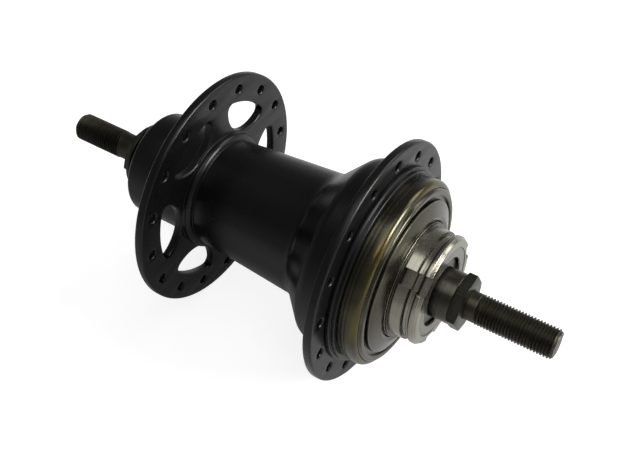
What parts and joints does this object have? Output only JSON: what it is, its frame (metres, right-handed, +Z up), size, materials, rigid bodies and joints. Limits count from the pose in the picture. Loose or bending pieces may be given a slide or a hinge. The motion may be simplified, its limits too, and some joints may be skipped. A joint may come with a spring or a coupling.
{
  "type": "coaster brake hub",
  "caption": "Rear coaster brake hub for a bicycle: black alloy shell with two spoke flanges, steel driver, axle and an inner roller clutch and shoe brake",
  "frame": {"origin": "middle of the axle, on its centre line, which is the centre of the whole part's box", "axes": "+Y along the axle towards the brake side, -Y towards the sprocket, +Z up"},
  "size_m": [0.0792, 0.178, 0.0792],
  "materials": {
    "black_alloy": "turned light alloy, anodised black, satin with a slight sheen",
    "hardened_steel": "turned and hardened steel, fine lathe lines",
    "zinc_steel": "pressed steel, light matte zinc",
    "black_oxide_steel": "turned steel, black oxide with an oily sheen",
    "ground_steel": "ground and polished bearing steel",
    "pressed_steel": "cold rolled spring steel, bright",
    "phosphate_steel": "sintered steel, grey phosphate",
    "bronze": "machined bearing bronze, matte"
  },
  "bodies": {
    "axle_group": {"axle": "black_oxide_steel", "anchor_cone": "black_oxide_steel", "right_cone": "black_oxide_steel", "right_locknut": "black_oxide_steel", "left_washer": "black_oxide_steel", "left_locknut": "black_oxide_steel"},
    "hub": {"hub_shell": "black_alloy", "brake_liner": "pressed_steel", "drive_ring": "hardened_steel", "right_dust_cap": "hardened_steel", "left_bearing_cup": "ground_steel", "left_dust_cap": "black_alloy"},
    "driver": {"driver": "hardened_steel", "driver_dust_cap": "zinc_steel"},
    "roller_clutch": {"roller_cage": "phosphate_steel", "drive_rollers": "ground_steel"},
    "brake_cone": {"brake_cone": "phosphate_steel", "drag_spring": "pressed_steel"},
    "left_bearing": {"left_balls": "ground_steel", "left_ball_cage": "pressed_steel"},
    "right_bearing": {"right_balls": "ground_steel", "right_ball_cage": "pressed_steel"},
    "driver_bearing": {"driver_balls": "ground_steel", "driver_ball_cage": "pressed_steel"},
    "shoe_1": {"brake_shoe_1": "bronze"},
    "shoe_2": {"brake_shoe_2": "bronze"},
    "shoe_3": {"brake_shoe_3": "bronze"},
    "shoe_4": {"brake_shoe_4": "bronze"}
  },
  "joints": [
    {"name": "hub_spin", "type": "hinge", "parent": "axle_group", "child": "hub", "pos_m": [0, 0, 0], "axis": [0, 1, 0], "continuous": true},
    {"name": "driver_spin", "type": "hinge", "parent": "axle_group", "child": "driver", "pos_m": [0, 0, 0], "axis": [0, 1, 0], "continuous": true},
    {"name": "clutch_turn", "type": "hinge", "parent": "driver", "child": "roller_clutch", "pos_m": [0, 0, 0], "axis": [0, 1, 0], "range_deg": [-8, 8]},
    {"name": "brake_cone_slide", "type": "slide", "parent": "axle_group", "child": "brake_cone", "axis": [0, 1, 0], "range_m": [0, 0.002]},
    {"name": "left_bearing_roll", "type": "hinge", "parent": "axle_group", "child": "left_bearing", "pos_m": [0, 0, 0], "axis": [0, 1, 0], "continuous": true},
    {"name": "right_bearing_roll", "type": "hinge", "parent": "axle_group", "child": "right_bearing", "pos_m": [0, 0, 0], "axis": [0, 1, 0], "continuous": true},
    {"name": "driver_bearing_roll", "type": "hinge", "parent": "axle_group", "child": "driver_bearing", "pos_m": [0, 0, 0], "axis": [0, 1, 0], "continuous": true},
    {"name": "shoe_1_spread", "type": "slide", "parent": "axle_group", "child": "shoe_1", "axis": [0.7071, 0, 0.7071], "range_m": [0, 0.0003]},
    {"name": "shoe_2_spread", "type": "slide", "parent": "axle_group", "child": "shoe_2", "axis": [-0.7071, 0, 0.7071], "range_m": [0, 0.0003]},
    {"name": "shoe_3_spread", "type": "slide", "parent": "axle_group", "child": "shoe_3", "axis": [-0.7071, 0, -0.7071], "range_m": [0, 0.0003]},
    {"name": "shoe_4_spread", "type": "slide", "parent": "axle_group", "child": "shoe_4", "axis": [0.7071, 0, -0.7071], "range_m": [0, 0.0003]}
  ],
  "couplings": [
    {"joint": "left_bearing_roll", "follows": "hub_spin", "ratio": 0.572},
    {"joint": "right_bearing_roll", "follows": "hub_spin", "ratio": 0.546},
    {"joint": "driver_bearing_roll", "follows": "driver_spin", "ratio": 0.5765},
    {"joint": "shoe_1_spread", "follows": "brake_cone_slide", "ratio": 0.15},
    {"joint": "shoe_2_spread", "follows": "brake_cone_slide", "ratio": 0.15},
    {"joint": "shoe_3_spread", "follows": "brake_cone_slide", "ratio": 0.15},
    {"joint": "shoe_4_spread", "follows": "brake_cone_slide", "ratio": 0.15}
  ]
}
